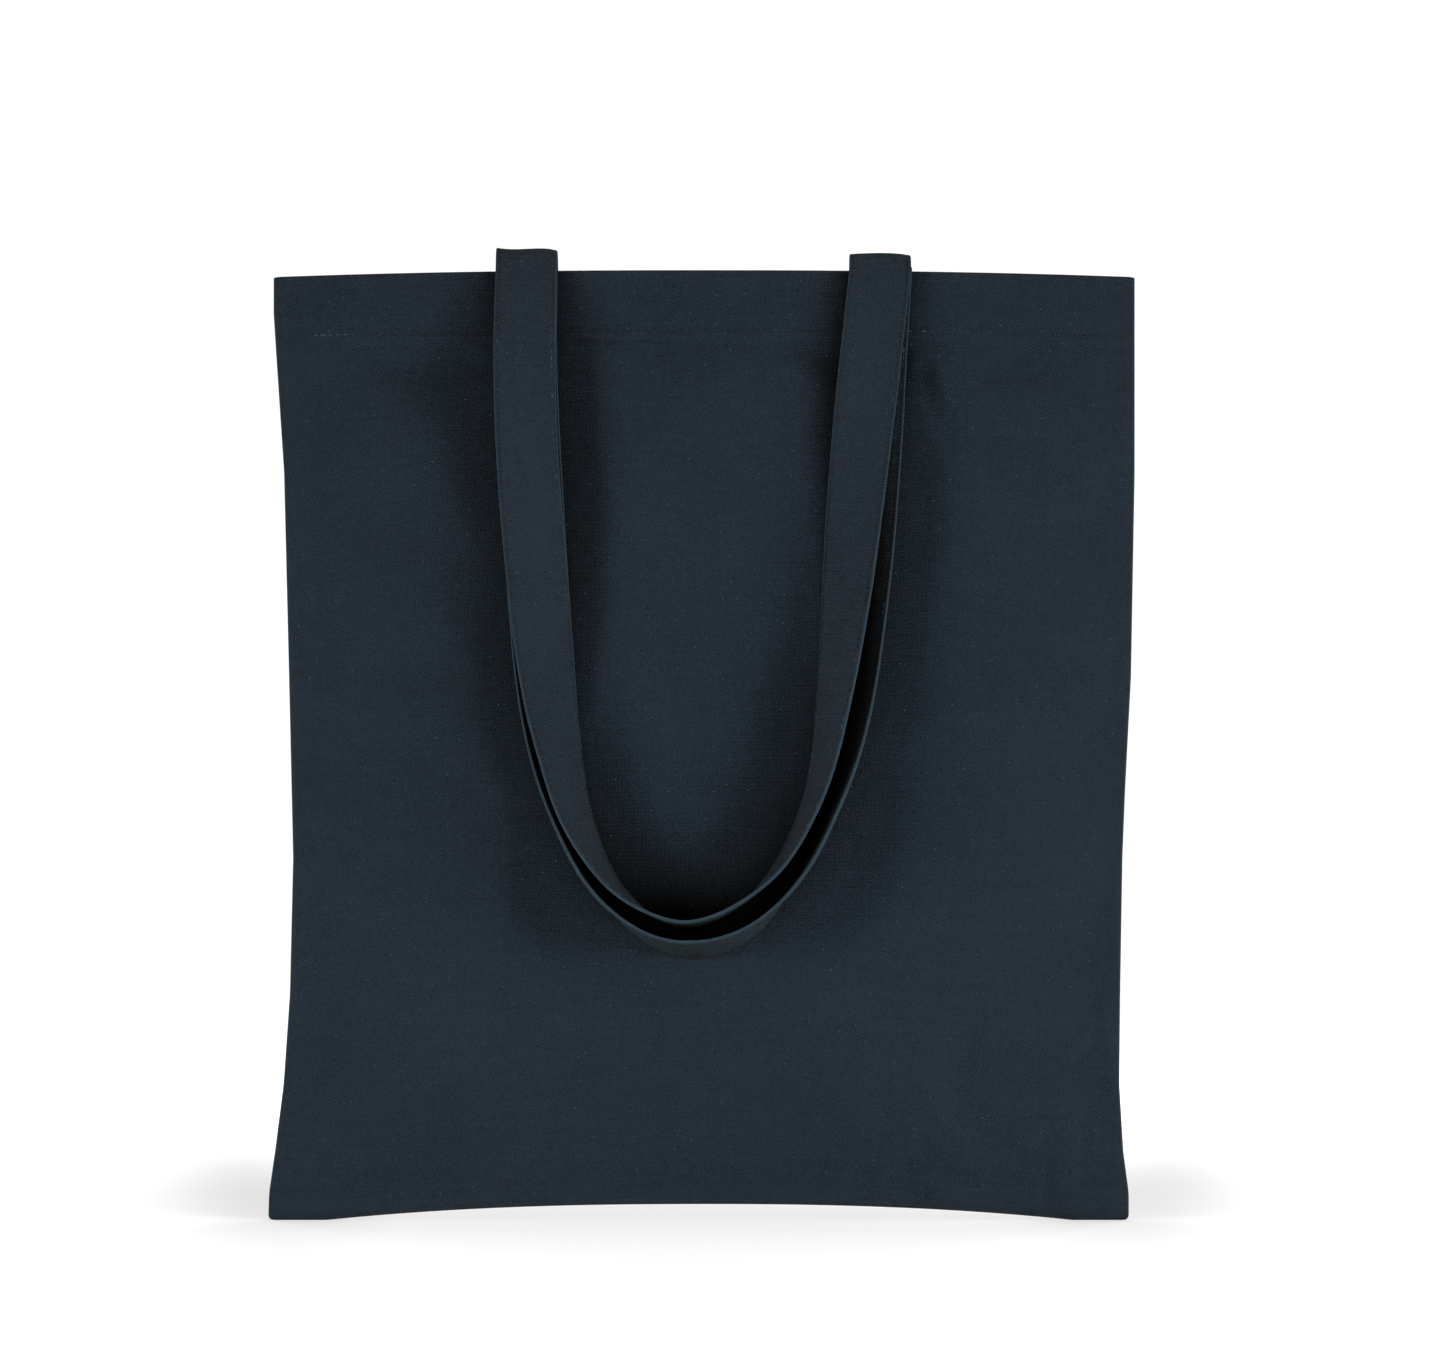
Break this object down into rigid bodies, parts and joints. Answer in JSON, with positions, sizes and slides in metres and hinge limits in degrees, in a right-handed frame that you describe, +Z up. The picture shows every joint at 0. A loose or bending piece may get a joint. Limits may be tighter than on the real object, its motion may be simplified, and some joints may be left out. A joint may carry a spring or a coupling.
{
  "type": "canvas tote bag",
  "caption": "Flat soft canvas tote bag, open at the top, with a hemmed mouth and long strap handles that hang down its front and swing up for carrying.",
  "frame": {"origin": "on the floor, under the middle of the whole object's box; the bag's seam plane stands 14.2 mm behind it, because both handles hang in front", "axes": "+X to the right of the front face, +Y from the front face to the back, +Z up to the mouth"},
  "size_m": [0.3824, 0.0766, 0.4283],
  "materials": {
    "canvas": "matt plain-weave cotton canvas, dark navy",
    "strap": "matt canvas strap, folded and edge-stitched, dark navy",
    "thread": "polyester sewing thread, slightly lighter than the cloth"
  },
  "bodies": {
    "bag": {"front_panel": "canvas", "back_panel": "canvas", "front_hem": "canvas", "back_hem": "canvas", "left_side_seam": "canvas", "right_side_seam": "canvas", "bottom_seam": "canvas", "front_hem_stitching": "thread", "back_hem_stitching": "thread", "side_seam_stitching": "thread", "bottom_seam_stitching": "thread", "front_handle_ends": "strap", "back_handle_ends": "strap", "front_anchor_stitching": "thread", "back_anchor_stitching": "thread", "front_handle_folds": "strap", "back_handle_folds": "strap"},
    "front_handle": {"front_handle": "strap", "front_handle_stitching": "thread"},
    "back_handle": {"back_handle": "strap", "back_handle_stitching": "thread"}
  },
  "joints": [
    {"name": "back_handle_swing", "type": "hinge", "parent": "bag", "child": "back_handle", "pos_m": [0, 0.01005, 0.4226], "axis": [-1, 0, 0], "range_deg": [0, 175], "deforming": ["back_handle_folds"]},
    {"name": "front_handle_swing", "type": "hinge", "parent": "bag", "child": "front_handle", "pos_m": [0, 0.00725, 0.4226], "axis": [-1, 0, 0], "range_deg": [0, 175], "deforming": ["front_handle_folds"]}
  ],
  "couplings": [
    {"joint": "front_handle_swing", "follows": "back_handle_swing", "ratio": 1}
  ]
}
